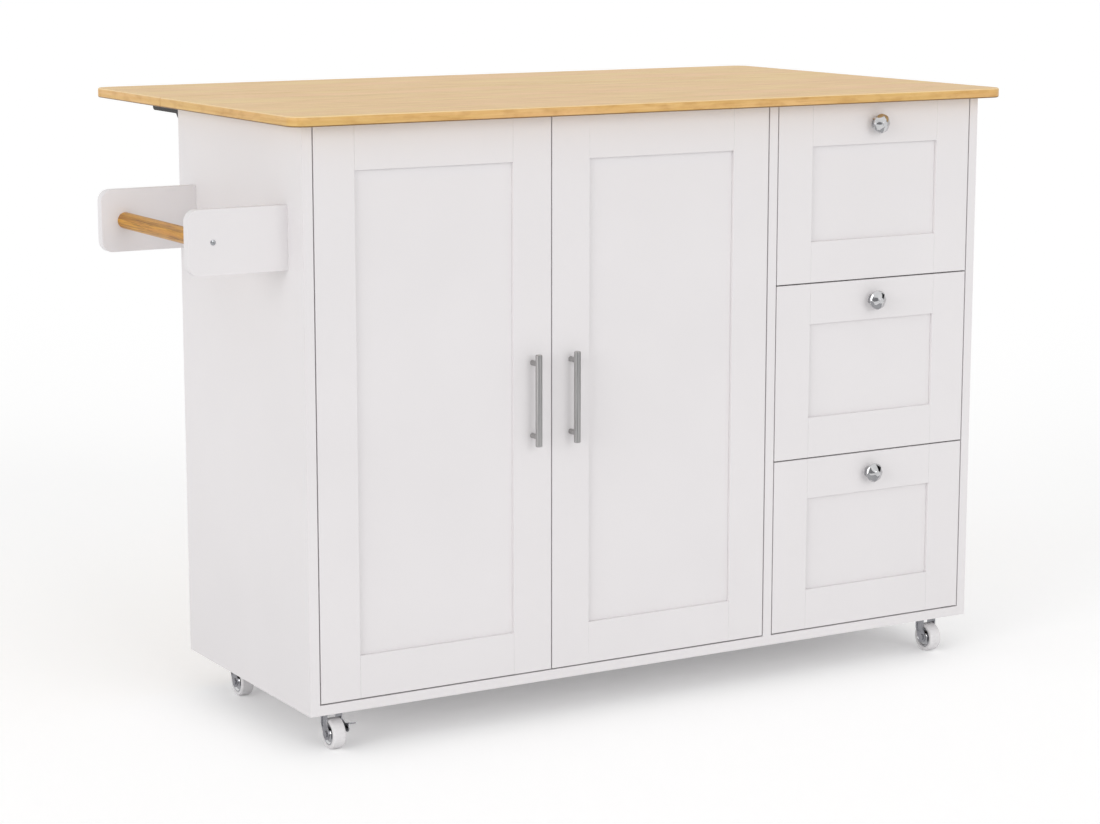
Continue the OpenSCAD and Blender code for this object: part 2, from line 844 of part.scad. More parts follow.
module caster_plate() {
    half = caster_plate_w / 2;
    kingpin_low = crown_top - fork_t - race_gap;
    translate([-half, -half, caster_h - caster_plate_t]) cube([2 * half, 2 * half, caster_plate_t]);
    translate([0, 0, caster_h - caster_plate_t - race_h]) cylinder(r = crown_r - 1, h = race_h);
    translate([0, 0, kingpin_low]) cylinder(d = kingpin_d, h = caster_h - caster_plate_t - kingpin_low);
    translate([0, 0, kingpin_low - kingpin_head_h]) cylinder(d = kingpin_d + 6, h = kingpin_head_h);
}

module caster_plates() {
    color(chrome) centred() difference() {
        for (i = [0 : len(caster_spots) - 1]) at_caster(i) caster_plate();
        caster_screws(slip_fit);
    }
}

// Outline of a fork leg from the crown down to the boss round the axle
module fork_leg_outline() {
    front = -caster_trail - 3;
    rear = front + 19;
    boss_r = 9;
    difference() {
        union() {
            polygon([
                [front, crown_top], [rear, crown_top], [rear, axle_z + 13],
                [-caster_trail + boss_r - 0.5, axle_z], [-caster_trail - boss_r + 0.5, axle_z],
                [front - 3, axle_z + 8], [front, axle_z + 14]
            ]);
            translate([-caster_trail, axle_z]) circle(r = boss_r);
        }
        translate([-caster_trail, axle_z]) circle(d = axle_d + 2 * running_fit);
    }
}

module caster_fork(i) {
    axle_head_d = axle_d + 4;
    color(chrome) centred() at_caster(i) {
        difference() {
            union() {
                translate([0, 0, crown_top - fork_t]) cylinder(r = crown_r, h = fork_t);
                box(-leg_out, -caster_trail - 3, crown_top - fork_t, 2 * leg_out, caster_trail + 3, fork_t);
                along_x(-leg_out, fork_t) fork_leg_outline();
                along_x(leg_in, fork_t) fork_leg_outline();
            }
            translate([0, 0, crown_top - fork_t - 1])
                cylinder(d = kingpin_d + 2 * running_fit, h = fork_t + 2);
        }
        bar_x(-leg_out, -caster_trail, axle_z, 2 * leg_out, axle_d);
        bar_x(-leg_out - axle_head_h, -caster_trail, axle_z, axle_head_h, axle_head_d);
        bar_x(leg_out, -caster_trail, axle_z, axle_head_h, axle_head_d);
        if (i == 0 || i == 3) lever_pin();
    }
}

// Pin on the outer face of the right leg that carries the brake lever
module lever_pin() {
    length = lever_t + 2 * side_play;
    bar_x(leg_out, lever_y, lever_z, length, lever_pin_d);
    bar_x(leg_out + length, lever_y, lever_z, 1.2, lever_pin_d + 3);
}

module caster_wheel(i) {
    r = wheel_d / 2;
    half = wheel_w / 2;
    shoulder = 3;
    hub_r = hub_d / 2;
    centred() at_caster(i) translate([0, -caster_trail, axle_z]) rotate([0, 90, 0]) {
        color(white_plastic) rotate_extrude($fn = 72) {
            translate([hub_r, -half + shoulder]) square([r - hub_r, wheel_w - 2 * shoulder]);
            translate([hub_r, -half]) square([r - hub_r - shoulder, wheel_w]);
            for (z = [-half + shoulder, half - shoulder])
                translate([r - shoulder, z]) circle(r = shoulder, $fn = 32);
        }
        color(chrome) rotate_extrude($fn = 72) polygon([
            [axle_d / 2 + running_fit, -half - side_play], [7, -half - side_play], [8, -half + 2],
            [hub_r - 3, -half + 3], [hub_r - 2, -half + 1], [hub_r, -half + 1],
            [hub_r, half - 1], [hub_r - 2, half - 1], [hub_r - 3, half - 3],
            [8, half - 2], [7, half + side_play], [axle_d / 2 + running_fit, half + side_play]
        ]);
    }
}

// The lever runs forward to a round cheek beside the tyre, where its thin foot stands out to the side
module brake_lever(i) {
    eye_r = 5;
    cheek_r = 6.5;
    cheek_y = -22.5;
    cheek_z = -7.5;
    waist = 3.5;
    foot_w = 10;
    foot_l = 13;
    foot_rise = 2.6;
    foot_y = cheek_y + 2;
    foot_z = cheek_z + cheek_r - lever_t;
    color(chrome) centred() at_caster(i) translate([leg_out + side_play, lever_y, lever_z]) {
        along_x(0, lever_t) difference() {
            union() {
                circle(r = eye_r);
                polygon([[0, waist], [cheek_y, cheek_z + waist], [cheek_y, cheek_z - waist], [0, -waist]]);
                translate([cheek_y, cheek_z]) circle(r = cheek_r);
            }
            circle(d = lever_pin_d + 2 * running_fit);
        }
        along_x(0, foot_w) polygon([
            [foot_y, foot_z], [foot_y, foot_z + lever_t],
            [foot_y - foot_l, foot_z + foot_rise + lever_t], [foot_y - foot_l, foot_z + foot_rise]
        ]);
    }
}

side_panel(0);  // side_panel_left
side_panel(inner_right);  // side_panel_right
centre_divider();
bottom_panel();
back_panel();
top_rails();
shelf();
shelf_pins();
panel_dowels();
worktop();
towel_bracket(rack_front);  // towel_bracket_front
towel_bracket(rack_rear);  // towel_bracket_rear
towel_rod();
towel_rack_screws();
hinge_arms();
cabinet_runners();
bracket_wall_plates();
caster_plates();
cabinet_screws();
color(white_paint) centred() on_left_door() door_frame();  // door_left_frame
color(white_paint) centred() on_left_door() front_panel(door_w, front_h);  // door_left_panel
centred() on_left_door() door_handle();  // door_left_handle
color(zinc) centred() on_left_door() hinge_cups();  // door_left_hinge_cups
color(white_paint) centred() on_right_door() door_frame();  // door_right_frame
color(white_paint) centred() on_right_door() front_panel(door_w, front_h);  // door_right_panel
centred() on_right_door() door_handle();  // door_right_handle
color(zinc) centred() on_right_door() hinge_cups();  // door_right_hinge_cups
drawer_frame(0);  // drawer_top_frame
drawer_panel(0);  // drawer_top_panel
drawer_box(0);  // drawer_top_box
drawer_base(0);  // drawer_top_base
drawer_knob(0);  // drawer_top_knob
drawer_runners(0);  // drawer_top_runners
drawer_frame(1);  // drawer_middle_frame
drawer_panel(1);  // drawer_middle_panel
drawer_box(1);  // drawer_middle_box
drawer_base(1);  // drawer_middle_base
drawer_knob(1);  // drawer_middle_knob
drawer_runners(1);  // drawer_middle_runners
drawer_frame(2);  // drawer_bottom_frame
drawer_panel(2);  // drawer_bottom_panel
drawer_box(2);  // drawer_bottom_box
drawer_base(2);  // drawer_bottom_base
drawer_knob(2);  // drawer_bottom_knob
drawer_runners(2);  // drawer_bottom_runners
drop_leaf();
bracket_arms();
leaf_screws();
bracket_strut(bracket_xs[0]);  // bracket_strut_left
bracket_strut(bracket_xs[1]);  // bracket_strut_right
caster_fork(0);  // caster_fork_front_left
caster_fork(1);  // caster_fork_front_right
caster_fork(2);  // caster_fork_rear_left
caster_fork(3);  // caster_fork_rear_right
caster_wheel(0);  // caster_wheel_front_left
caster_wheel(1);  // caster_wheel_front_right
caster_wheel(2);  // caster_wheel_rear_left
caster_wheel(3);  // caster_wheel_rear_right
brake_lever(0);  // brake_lever_front_left
brake_lever(3);  // brake_lever_rear_right
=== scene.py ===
# The looks of a rolling kitchen island: white painted cupboard and drawers, a lacquered oak worktop with a
# folding leaf, a towel rail, nickel handles, cut knobs and four casters. Sizes are in metres and come from
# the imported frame: X runs right, Y runs back from the doors, Z runs up from the floor.
import json
from math import cos, pi, radians, sin

import bmesh
import bpy
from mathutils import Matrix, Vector


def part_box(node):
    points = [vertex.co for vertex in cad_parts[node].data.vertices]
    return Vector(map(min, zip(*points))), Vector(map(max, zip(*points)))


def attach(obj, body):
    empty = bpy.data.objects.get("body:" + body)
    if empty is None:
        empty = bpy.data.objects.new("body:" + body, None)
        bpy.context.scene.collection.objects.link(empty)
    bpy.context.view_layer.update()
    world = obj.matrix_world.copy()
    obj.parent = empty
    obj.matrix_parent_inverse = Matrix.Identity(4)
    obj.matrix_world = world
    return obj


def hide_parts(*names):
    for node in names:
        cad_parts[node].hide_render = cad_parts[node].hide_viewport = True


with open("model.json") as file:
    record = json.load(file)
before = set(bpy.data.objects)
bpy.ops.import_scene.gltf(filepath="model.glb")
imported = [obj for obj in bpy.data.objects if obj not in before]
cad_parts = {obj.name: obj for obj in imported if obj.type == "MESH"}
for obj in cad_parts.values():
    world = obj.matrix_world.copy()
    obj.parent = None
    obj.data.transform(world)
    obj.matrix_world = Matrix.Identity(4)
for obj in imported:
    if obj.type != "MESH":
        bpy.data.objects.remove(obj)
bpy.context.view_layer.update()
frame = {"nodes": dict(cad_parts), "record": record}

MM = 0.001
nodes = frame["nodes"]
record = frame["record"]
body_of = {node: body for body, members in record["behaviour"]["bodies"].items() for node in members}
slot_of = {part["node"]: part["material_slot"] for part in record["subparts"]}


# Colours and finishes

def linear(hex_colour):
    """An sRGB hex colour as the linear RGBA that shaders use."""
    channels = [int(hex_colour[i:i + 2], 16) / 255 for i in (1, 3, 5)]
    return [c / 12.92 if c <= 0.04045 else ((c + 0.055) / 1.055) ** 2.4 for c in channels] + [1.0]


def add(tree, kind, inputs=None, out=0, **settings):
    """Adds a node, sets what is given, links an input that is given a socket or a list of them, and returns
    one of the node's outputs. Sockets that share a name with others go by their number."""
    node = tree.nodes.new(kind)
    for name, value in settings.items():
        setattr(node, name, value)
    for key, value in (inputs or {}).items():
        given = value if isinstance(value, list) else [value]
        sources = [source for source in given if isinstance(source, bpy.types.NodeSocket)]
        for source in sources:
            tree.links.new(source, node.inputs[key])
        if not sources:
            node.inputs[key].default_value = value
    return node.outputs[out] if node.outputs else None


def new_finish(name, **surface):
    """A material with a Principled surface. Returns it with its tree and the shader."""
    material = bpy.data.materials.new(name)
    material.use_nodes = True
    tree = material.node_tree
    shader = tree.nodes["Principled BSDF"]
    for key, value in surface.items():
        shader.inputs[key.replace("_", " ")].default_value = value
    return material, tree, shader


def patches(tree, where, size_mm, detail=2.0, rough=0.5):
    """A cloudy pattern, whose patches have the given size along X, Y and Z."""
    per_metre = [1 / (size * MM) for size in size_mm]
    scaled = add(tree, "ShaderNodeMapping", {"Vector": where, "Scale": per_metre})
    return add(tree, "ShaderNodeTexNoise", {
        "Vector": scaled, "Scale": 1.0, "Detail": detail, "Roughness": rough})


def stained_or_painted_light(tree, colour, stain_or_painted_light, pattern, low, high, amount=1.0):
    """Lays a stain, or a painted highlight or shade, over a colour: none where the pattern is at low, the
    given amount where it is at high.
    """
    share = add(tree, "ShaderNodeMapRange", {
        "Value": pattern, "From Min": low, "From Max": high, "To Min": 0.0, "To Max": amount})
    return add(tree, "ShaderNodeMix", {0: share, 6: colour, 7: linear(stain_or_painted_light)}, out=2, data_type="RGBA")


def dress(tree, shader, tint, sheen, matte, relief, relief_mm):
    """Gives the surface its tint, a roughness between two values, and a relief of a given height."""
    rough = add(tree, "ShaderNodeMapRange", {
        "Value": sheen, "From Min": 0.3, "From Max": 0.7, "To Min": matte[0], "To Max": matte[1]})
    bump = add(tree, "ShaderNodeBump", {"Height": relief, "Distance": relief_mm * MM})
    for source, socket in ((tint, "Base Color"), (rough, "Roughness"), (bump, "Normal")):
        tree.links.new(source, shader.inputs[socket])


def painted_board(name):
    # Sprayed satin acrylic on MDF: even, nearly white, with a soft sheen and a faint orange peel
    material, tree, shader = new_finish(name, IOR=1.46, Specular_IOR_Level=0.4)
    where = add(tree, "ShaderNodeTexCoord", out="Object")
    cloud = patches(tree, where, (160, 160, 160))
    # Orange peel of sprayed paint is about 2 mm across
    peel = patches(tree, where, (2.2, 2.2, 2.2), detail=3.0)
    tint = stained_or_painted_light(tree, linear("#E1DEDF"), "#E3E0E1", cloud, 0.3, 0.7)
    dress(tree, shader, tint, peel, (0.40, 0.50), peel, 0.02)
    return material


def round_the_rim(tree, where, front_y):
    """Coordinates that run along the board, and on its edges along the rim, as an edging strip bent round the
    corners does. Also returns how far each place faces up, from -1 to 1, and whether it is on an edge."""
    flattest_edge = 0.6
    normal = add(tree, "ShaderNodeTexCoord", out="Normal")
    rise = add(tree, "ShaderNodeSeparateXYZ", {0: normal}, out="Z")
    flatness = add(tree, "ShaderNodeMath", {0: rise}, operation="ABSOLUTE")
    on_edge = add(tree, "ShaderNodeMath", {0: flatness, 1: flattest_edge}, operation="LESS_THAN")
    place = add(tree, "ShaderNodeSeparateXYZ", {0: where}).node.outputs
    side = add(tree, "ShaderNodeMath", {0: place["X"]}, operation="SIGN")
    behind = add(tree, "ShaderNodeMath", {0: place["Y"], 1: front_y}, operation="SUBTRACT")
    along = add(tree, "ShaderNodeMath", {0: side, 1: behind, 2: place["X"]}, operation="MULTIPLY_ADD")
    strip = add(tree, "ShaderNodeCombineXYZ", {"X": along, "Z": place["Z"]})
    run = add(tree, "ShaderNodeMix", {0: on_edge, 4: where, 5: strip}, out=1, data_type="VECTOR")
    return run, rise, on_edge


def lacquered_wood(name, pale, mid, dark, leans, grain_mm, axis="X", matte=0.42, contrast=1.0, front_y=None):
    # Sanded and lacquered hardwood: drifting streaks, growth bands, fine fibres and short pores. A board
    # whose front is given has an edging strip, with a painted highlight on its upper arris and painted shade
    # on its lower one.
    material, tree, shader = new_finish(name, IOR=1.48, Specular_IOR_Level=0.3)
    where = add(tree, "ShaderNodeTexCoord", out="Object")
    turn = {"X": 0.0, "Y": radians(-90)}[axis]
    run = add(tree, "ShaderNodeMapping", {"Vector": where, "Rotation": (0, 0, turn)})
    if front_y is not None:
        run, rise, on_edge = round_the_rim(tree, run, front_y)
    length, width, height = grain_mm
    streaks = patches(tree, run, grain_mm, detail=5.0, rough=0.6)
    colour = stained_or_painted_light(tree, linear(mid), pale, streaks, 0.36, 0.62)
    # Whole stretches of a board lean to yellow or to red
    stretches = patches(tree, run, (length * 3, width * 9, height * 3), detail=3.0)
    colour = stained_or_painted_light(tree, colour, leans[0], stretches, 0.50, 0.66, 0.55)
    colour = stained_or_painted_light(tree, colour, leans[1], stretches, 0.50, 0.34, 0.55)
    # Growth bands are about 2.5 times as far apart as the streaks are wide, and drift along the board
    drift = patches(tree, run, (420, 60, 60), detail=3.0)
    per_metre = [1 / (size * MM) for size in (900, width * 2, height * 3)]
    spaced = add(tree, "ShaderNodeMapping", {"Vector": run, "Scale": per_metre})
    bands = add(tree, "ShaderNodeTexWave", {
        "Vector": spaced, "Scale": 0.5, "Distortion": 7.0, "Detail": 3.0, "Detail Scale": 0.8,
        "Phase Offset": drift}, out="Fac", bands_direction="DIAGONAL")
    colour = stained_or_painted_light(tree, colour, dark, bands, 0.5, 1.0, 0.16 * contrast)
    # Fibres are 0.3 mm wide in such wood, and drawn 1.2 mm wide so that they show
    fibres = patches(tree, run, (70, 1.2, 1.2), detail=3.0, rough=0.65)
    # They show more where the board was cut across the rings
    across = patches(tree, run, (length * 2, width * 5, height * 3))
    figure = add(tree, "ShaderNodeMapRange", {
        "Value": across, "From Min": 0.42, "From Max": 0.62,
        "To Min": 0.12 * contrast, "To Max": 0.95 * contrast})
    colour = stained_or_painted_light(tree, colour, dark, fibres, 0.52, 0.78, figure)
    # Pores are scratches 9 mm long, a little darker than the wood
    pores = patches(tree, run, (9, 0.7, 0.7), detail=1.0)
    colour = stained_or_painted_light(tree, colour, dark, pores, 0.66, 0.76, 0.5)
    if front_y is not None:
        # The edging took more stain, some of it in blotches
        colour = stained_or_painted_light(tree, colour, "#C49148", on_edge, 0.0, 1.0, 0.30)
        blotched = add(tree, "ShaderNodeMath", {0: on_edge, 1: 0.42}, operation="MULTIPLY")
        blotches = patches(tree, run, (34, 9, 12), detail=3.0)
        colour = stained_or_painted_light(tree, colour, "#A8712E", blotches, 0.48, 0.72, blotched)
        # Its upper arris is lighter, a painted highlight, and its lower one darker, a painted shade: how far
        # each faces up, and how far from that it still counts
        for middle, reach, stain_or_painted_light, amount in ((0.60, 0.30, "#F3DBB0", 0.62), (-0.62, 0.33, "#6B4A2B", 0.85)):
            arris_highlight_or_shade = add(tree, "ShaderNodeMath", {0: rise, 1: middle, 2: reach}, operation="COMPARE")
            colour = stained_or_painted_light(tree, colour, stain_or_painted_light, arris_highlight_or_shade, 0.0, 1.0, amount)
    dress(tree, shader, colour, fibres, (matte - 0.05, matte + 0.06), pores, 0.02)
    return material


def brushed_nickel(name):
    # Satin nickel plate on a turned steel bar: grey, with fine scratches along the bar
    material, tree, shader = new_finish(name, Metallic=1.0, Anisotropic=0.5)
    where = add(tree, "ShaderNodeTexCoord", out="Object")
    # Real brush lines are 0.05 mm wide, and drawn 0.5 mm wide so that they show
    lines = patches(tree, where, (0.5, 0.5, 60), detail=3.0, rough=0.6)
    tint = stained_or_painted_light(tree, linear("#A1A0A0"), "#BDBCBB", lines, 0.3, 0.7)
    dress(tree, shader, tint, lines, (0.26, 0.40), lines, 0.01)
    return material


def chrome_plate(name, bright, dull, matte):
    # Bright chrome over a casting or a pressing: mirror-like, slightly wavy, with cloudy polish marks
    material, tree, shader = new_finish(name, Metallic=1.0)
    where = add(tree, "ShaderNodeTexCoord", out="Object")
    cloud = patches(tree, where, (12, 12, 12), detail=3.0)
    polish = patches(tree, where, (3, 3, 3), detail=4.0)
    tint = stained_or_painted_light(tree, linear(dull), bright, cloud, 0.3, 0.7)
    dress(tree, shader, tint, polish, (matte * 0.7, matte * 1.4), cloud, 0.02)
    return material


def zinc_plate(name):
    # Bright zinc on pressed steel: bluish grey, satin, with mottled passivation
    material, tree, shader = new_finish(name, Metallic=1.0)
    where = add(tree, "ShaderNodeTexCoord", out="Object")
    mottle = patches(tree, where, (5, 5, 5), detail=4.0)
    grit = patches(tree, where, (0.8, 0.8, 0.8))
    tint = stained_or_painted_light(tree, linear("#A9ACB0"), "#C4C6C8", mottle, 0.3, 0.7)
    dress(tree, shader, tint, mottle, (0.25, 0.40), grit, 0.01)
    return material


def powder_coat(name):
    # Black polyester powder coat on sheet steel: matte, with a fine pebbled skin
    material, tree, shader = new_finish(name, IOR=1.5)
    where = add(tree, "ShaderNodeTexCoord", out="Object")
    pebble = patches(tree, where, (1.0, 1.0, 1.0), detail=3.0)
    tint = stained_or_painted_light(tree, linear("#1B1B1D"), "#2A2A2C", pebble, 0.3, 0.7)
    dress(tree, shader, tint, pebble, (0.45, 0.60), pebble, 0.04)
    return material


def moulded_tyre(name):
    # White thermoplastic rubber, moulded: soft sheen, faint scuffs where it has rolled
    material, tree, shader = new_finish(name, IOR=1.5, Specular_IOR_Level=0.4)
    where = add(tree, "ShaderNodeTexCoord", out="Object")
    scuff = patches(tree, where, (9, 4, 4), detail=4.0, rough=0.6)
    grain = patches(tree, where, (0.7, 0.7, 0.7))
    tint = stained_or_painted_light(tree, linear("#E1DFE0"), "#D6D3D4", scuff, 0.45, 0.8)
    dress(tree, shader, tint, scuff, (0.44, 0.60), grain, 0.015)
    return material


white = painted_board("satin_white_paint_on_board")
oak = lacquered_wood("lacquered_oak_worktop", "#EDC78A", "#DCB26D", "#AC7A3E", ("#E9CA82", "#EEC08E"),
                     (110, 8, 5), contrast=0.9, front_y=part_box("worktop")[0].y)
rod_wood = lacquered_wood("lacquered_beech_rod", "#D49B38", "#AF7724", "#5E3810", ("#CF9630", "#C08138"),
                          (40, 2, 2), axis="Y", matte=0.38, contrast=2.0)
dowel_wood = lacquered_wood("bare_beech_dowels", "#DDBB8C", "#D2AC79", "#B48A56", ("#DEBE8A", "#D6AC80"),
                            (30, 3, 3), matte=0.7)
nickel = brushed_nickel("brushed_nickel_plate")
chrome = chrome_plate("polished_chrome_plate", "#D3D3D4", "#C2C2C4", 0.09)
steel_plate = chrome_plate("chromed_pressed_steel", "#C0C0C3", "#AFAFB3", 0.20)
zinc = zinc_plate("bright_zinc_plate")
black = powder_coat("black_powder_coat")
tyre_white = moulded_tyre("moulded_white_tyre")

finish_of = {
    "white_paint": white, "worktop_wood": oak, "rod_wood": rod_wood, "dowel_wood": dowel_wood,
    "brushed_handle": nickel, "chrome_plate": steel_plate, "wheel_plastic": tyre_white,
    "black_steel": black, "zinc_steel": zinc,
}


# Pieces

def into_scene(name, data):
    """A new object in the scene, at the origin."""
    made = bpy.data.objects.new(name, data)
    bpy.context.scene.collection.objects.link(made)
    return made


def show(name, mesh, finish, node):
    """Makes a mesh a piece that stands for a CAD piece, on the same body and with the given finish."""
    mesh.materials.clear()
    mesh.materials.append(finish)
    piece = into_scene(name, mesh)
    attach(piece, body_of[node])
    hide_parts(node)


def solids_of(node):
    """The separate solids of a CAD piece, each as its corner points and its triangles."""
    mesh = nodes[node].data
    corners = [tuple(round(c, 7) for c in v.co) for v in mesh.vertices]
    faces = [[corners[i] for i in p.vertices] for p in mesh.polygons]
    sides = {}
    for number, face in enumerate(faces):
        for a, b in zip(face, face[1:] + face[:1]):
            sides.setdefault(frozenset((a, b)), []).append(number)
    group = list(range(len(faces)))

    def root(i):
        while group[i] != i:
            group[i] = group[group[i]]
            i = group[i]
        return i

    for users in sides.values():
        if len(users) == 2:
            group[root(users[0])] = root(users[1])
    found = {}
    for number, face in enumerate(faces):
        found.setdefault(root(number), []).append(face)
    return list(found.values())


def whole_mesh(name, solids):
    """One mesh of closed solids, still in triangles."""
    mesh = bpy.data.meshes.new(name)
    joined = bmesh.new()
    for faces in solids:
        points = {}
        for face in faces:
            for corner in face:
                if corner not in points:
                    points[corner] = joined.verts.new(corner)
            if len(set(face)) == 3:
                joined.faces.new([points[corner] for corner in face])
    joined.to_mesh(mesh)
    joined.free()
    return mesh


def plain_mesh(worker):
    """The mesh of an object after its modifiers. The object itself goes."""
    graph = bpy.context.evaluated_depsgraph_get()
    graph.update()
    result = bpy.data.meshes.new_from_object(worker.evaluated_get(graph))
    bpy.data.objects.remove(worker)
    return result


def finished(mesh, kind, **settings):
    """The mesh after one modifier of a given kind."""
    worker = into_scene("worker", mesh)
    modifier = worker.modifiers.new(kind.lower(), kind)
    for key, value in settings.items():
        setattr(modifier, key, value)
    return plain_mesh(worker)


def merge_flats(mesh):
    """Makes each flat face one polygon, and shades the mesh smooth."""
    weld_gap, flat_angle = 0.001 * MM, radians(0.5)
    flat = bmesh.new()
    flat.from_mesh(mesh)
    bmesh.ops.remove_doubles(flat, verts=flat.verts, dist=weld_gap)
    flat.normal_update()
    bmesh.ops.dissolve_limit(flat, angle_limit=flat_angle, verts=flat.verts, edges=flat.edges)
    flat.to_mesh(mesh)
    flat.free()
    mesh.polygons.foreach_set("use_smooth", [True] * len(mesh.polygons))


def rounded(mesh, round_mm, steps=2):
    """The mesh with its sharp edges rounded, as sanding, pressing or casting leaves them."""
    merge_flats(mesh)
    return finished(mesh, "BEVEL", width=round_mm * MM, segments=steps, limit_method="ANGLE",
                    angle_limit=radians(32), harden_normals=True)


def soften(node, finish, round_mm, steps=2):
    """Shows a CAD piece with its edges rounded."""
    mesh = whole_mesh(node + "_soft", solids_of(node))
    show(node + "_soft", rounded(mesh, round_mm, steps), finish, node)


# Boards: every arris is sanded round by half a millimetre
for node in ("side_panel_left", "side_panel_right", "centre_divider", "bottom_panel", "back_panel", "shelf",
             "top_rails", "drawer_top_box", "drawer_middle_box", "drawer_bottom_box"):
    soften(node, white, 0.5)


# Fronts: two stiles with two rails between them, whose sanded edges meet in a fine line

def carved(mesh, operation, low, high):
    """The mesh after it is cut with a closed box between two corners, or cut down to it."""
    block = bpy.data.meshes.new("block")
    box = bmesh.new()
    bmesh.ops.create_cube(box, size=1.0)
    for corner in box.verts:
        corner.co = [high[i] if corner.co[i] > 0 else low[i] for i in range(3)]
    box.to_mesh(block)
    box.free()
    cutter = into_scene("block", block)
    result = finished(mesh, "BOOLEAN", operation=operation, object=cutter, solver="EXACT")
    bpy.data.objects.remove(cutter)
    return result


def opening_sides(solids, low, high):
    """Where the panel's opening starts and ends: the two longest upright lines inside the front face."""
    hair = 0.1 * MM
    lines = {}
    for x, y, z in (corner for faces in solids for face in faces for corner in face):
        if y < low.y + hair and low.x + hair < x < high.x - hair:
            lines.setdefault(x, []).append(z)
    middle = (low.x + high.x) / 2
    tall = {x: max(zs) - min(zs) for x, zs in lines.items() if min(zs) > low.z and max(zs) < high.z}
    return [max((x for x in tall if (x < middle) == left), key=tall.get) for left in (True, False)]


def stiles_and_rails(front, round_mm):
    """Shows a front's frame as the boards that it is glued up from."""
    node = front + "_frame"
    low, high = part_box(node)
    solids = solids_of(node)
    opening = opening_sides(solids, low, high)
    beyond = 100 * MM
    boards = {"stile_left": (low.x - beyond, opening[0]),
              "rails": opening,
              "stile_right": (opening[1], high.x + beyond)}
    for board, (start, end) in boards.items():
        name = f"{front}_{board}"
        kept = carved(whole_mesh(name, solids), "INTERSECT",
                      (start, low.y - beyond, low.z - beyond), (end, high.y + beyond, high.z + beyond))
        show(name, rounded(kept, round_mm), white, node)


for front in ("door_left", "door_right", "drawer_top", "drawer_middle", "drawer_bottom"):
    stiles_and_rails(front, 0.5)


# The towel rail's brackets are sanded rounder
for node in ("towel_bracket_front", "towel_bracket_rear"):
    soften(node, white, 2.2, steps=4)
# The worktop and the leaf keep the edges that they have in the CAD, and shade smoothly round them
for node in ("worktop", "drop_leaf"):
    planed = whole_mesh(node + "_planed", solids_of(node))
    merge_flats(planed)
    planed.set_sharp_from_angle(angle=radians(35))
    show(node + "_planed", finished(planed, "WEIGHTED_NORMAL", weight=100, keep_sharp=True), oak, node)
# Metal parts have the small round edges of a casting, a pressing or a ground bar
for node in ("drawer_top_knob", "drawer_middle_knob", "drawer_bottom_knob"):
    soften(node, chrome, 0.35)
for node in ("brake_lever_front_left", "brake_lever_rear_right", "caster_plates"):
    soften(node, steel_plate, 0.4)
for node in ("bracket_wall_plates", "bracket_arms", "bracket_strut_left", "bracket_strut_right"):
    soften(node, black, 0.3)
for node in ("door_left_handle", "door_right_handle"):
    soften(node, nickel, 0.4)
for node in ("hinge_arms", "door_left_hinge_cups", "door_right_hinge_cups"):
    soften(node, zinc, 0.25)


# Casters: a pressed fork, and a white tyre moulded round a chromed, dished hub

def turned(name, profile, centre, turns=96):
    """A closed profile of (radius, X) points in mm, turned about the line through centre along X."""
    mesh = bpy.data.meshes.new(name)
    count = len(profile)
    points = []
    for step in range(turns):
        angle = 2 * pi * step / turns
        for radius, along in profile:
            points.append(centre + Vector((along, radius * cos(angle), radius * sin(angle))) * MM)
    faces = []
    for step in range(turns):
        ring, following = step * count, (step + 1) % turns * count
        for i in range(count):
            j = (i + 1) % count
            faces.append((ring + i, ring + j, following + j, following + i))
    mesh.from_pydata(points, [], faces)
    shape = bmesh.new()
    shape.from_mesh(mesh)
    bmesh.ops.recalc_face_normals(shape, faces=shape.faces)
    shape.to_mesh(mesh)
    shape.free()
    mesh.polygons.foreach_set("use_smooth", [True] * len(mesh.polygons))
    return mesh


def arc(centre_r, centre_x, radius, start, end, steps):
    """Points of a rounded corner of a profile, between two angles from the radius direction."""
    return [(centre_r + radius * cos(radians(start + (end - start) * i / steps)),
             centre_x + radius * sin(radians(start + (end - start) * i / steps))) for i in range(steps + 1)]


def pressed_fork(place, axle):
    """A caster's fork, whose legs are stiffened by a shallow pressed channel where no lever is pinned on."""
    node = "caster_fork_" + place
    # From the axle's middle, the channel lies in a leg's outer face, behind the axle and above it
    leg_face, deep, proud = 12.8 * MM, 0.8 * MM, 0.1 * MM
    start, end, low_end, high_end = 1.5 * MM, 12.0 * MM, 9.0 * MM, 28.0 * MM
    mesh = whole_mesh(node + "_pressed", solids_of(node))
    free_legs = {"front_left": [-1], "rear_right": [-1]}.get(place, [-1, 1])
    for leg in free_legs:
        left, right = sorted((axle.x + leg * (leg_face - deep), axle.x + leg * (leg_face + proud)))
        mesh = carved(mesh, "DIFFERENCE",
                      (left, axle.y + start, axle.z + low_end), (right, axle.y + end, axle.z + high_end))
    show(node + "_pressed", rounded(mesh, 0.3), steel_plate, node)


# The tyre's section in mm: half its width, its rounded shoulders, its bore, and the lip beside the hub
half, shoulder, bore, lip, lip_deep = 10.0, 3, 16.6, 17.2, 0.8
